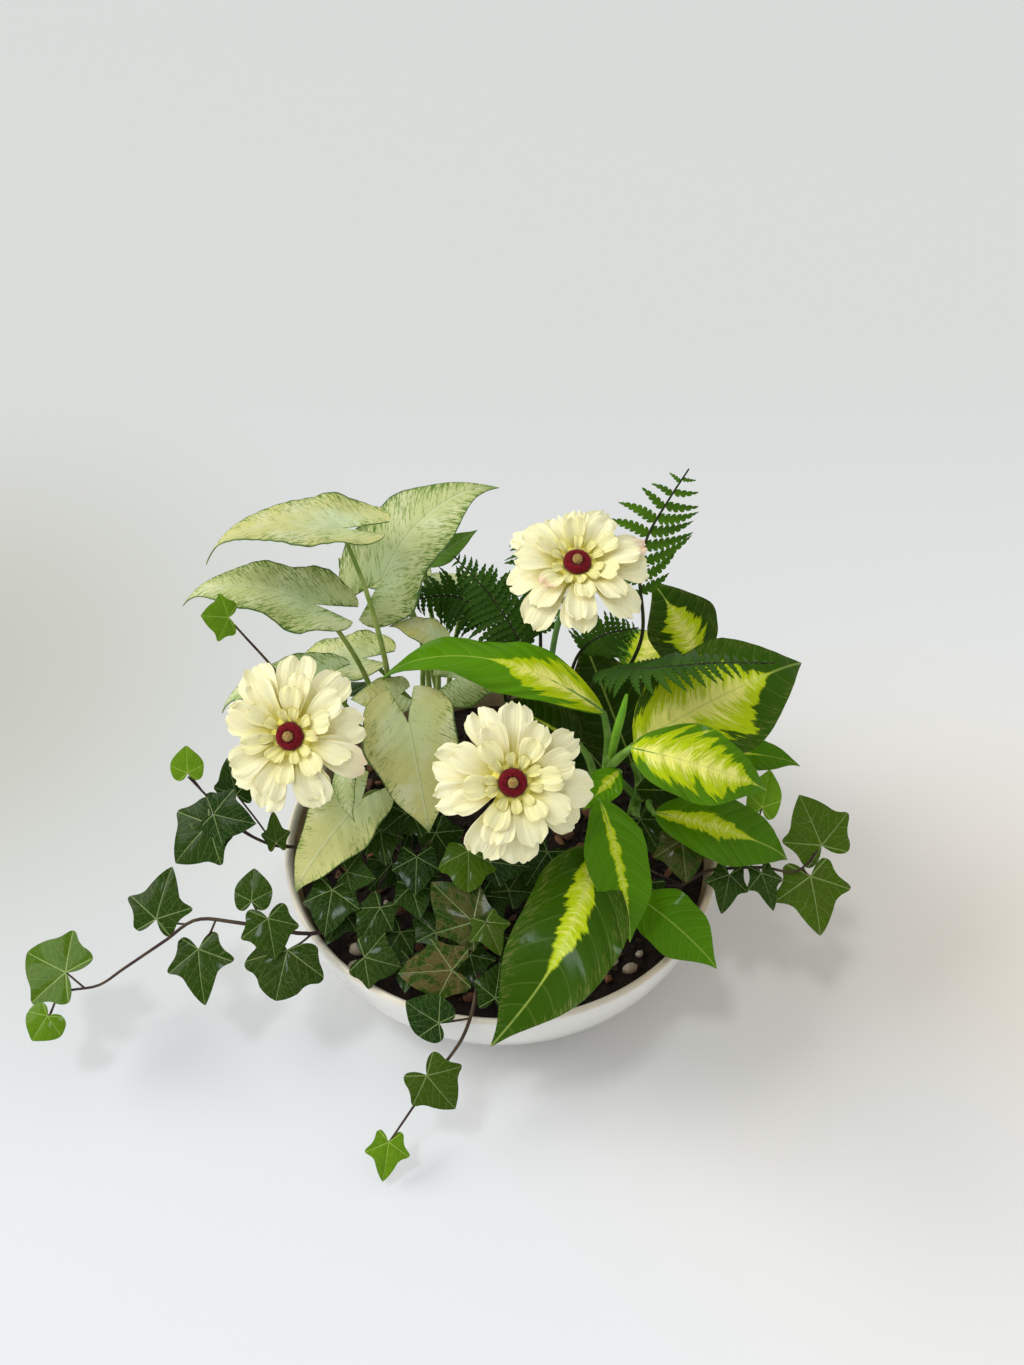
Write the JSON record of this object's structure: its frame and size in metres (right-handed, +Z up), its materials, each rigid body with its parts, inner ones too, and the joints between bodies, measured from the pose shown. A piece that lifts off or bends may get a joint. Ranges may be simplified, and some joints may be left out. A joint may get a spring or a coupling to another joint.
{
  "type": "dish garden",
  "caption": "Shallow white bowl planted with syngonium, dieffenbachia, fern and trailing ivy, with cream artificial flowers standing among the leaves.",
  "frame": {"origin": "centre of the bowl's flat base, on the surface that it stands on", "axes": "+Z up, +X along the longest spread of the trailing stems, -Y towards the front"},
  "size_m": [0.4686, 0.3787, 0.2902],
  "materials": {
    "glazed_bowl": "white glaze with a cream lip",
    "soil": "loose dark potting mix",
    "syngonium_leaf": "pale variegated leaf, satin",
    "dieffenbachia_leaf": "variegated leaf, semi-gloss",
    "fern_frond": "dark green frond, matte",
    "ivy_leaf": "dark green leaf with pale veins, glossy",
    "petal": "cream cloth petal",
    "flower_disc": "dark red flock",
    "flower_tuft": "tan flock",
    "flower_stem": "green moulded stem"
  },
  "bodies": {
    "root": {"bowl": "glazed_bowl", "soil": "soil", "syngonium_back": "syngonium_leaf", "syngonium_front": "syngonium_leaf", "syngonium_left": "syngonium_leaf", "syngonium_top": "syngonium_leaf", "dieffenbachia_low": "dieffenbachia_leaf", "dieffenbachia_tall": "dieffenbachia_leaf", "fern_back": "fern_frond", "fern_left": "fern_frond", "fern_left_upper": "fern_frond", "fern_middle": "fern_frond", "fern_right": "fern_frond", "fern_upright": "fern_frond", "ivy_back_left": "ivy_leaf", "ivy_back_trail": "ivy_leaf", "ivy_clump_front": "ivy_leaf", "ivy_clump_left": "ivy_leaf", "ivy_clump_middle": "ivy_leaf", "ivy_clump_right": "ivy_leaf", "ivy_front_trail": "ivy_leaf", "ivy_left_trail": "ivy_leaf", "ivy_right_trail": "ivy_leaf", "ivy_upper_left_trail": "ivy_leaf", "ivy_upright": "ivy_leaf", "flower_stem_centre": "flower_stem", "flower_stem_left": "flower_stem", "flower_stem_top": "flower_stem", "bloom_centre": "petal", "bloom_disc_centre": "flower_disc", "bloom_disc_left": "flower_disc", "bloom_disc_top": "flower_disc", "bloom_left": "petal", "bloom_top": "petal", "bloom_tuft_centre": "flower_tuft", "bloom_tuft_left": "flower_tuft", "bloom_tuft_top": "flower_tuft"}
  },
  "joints": []
}
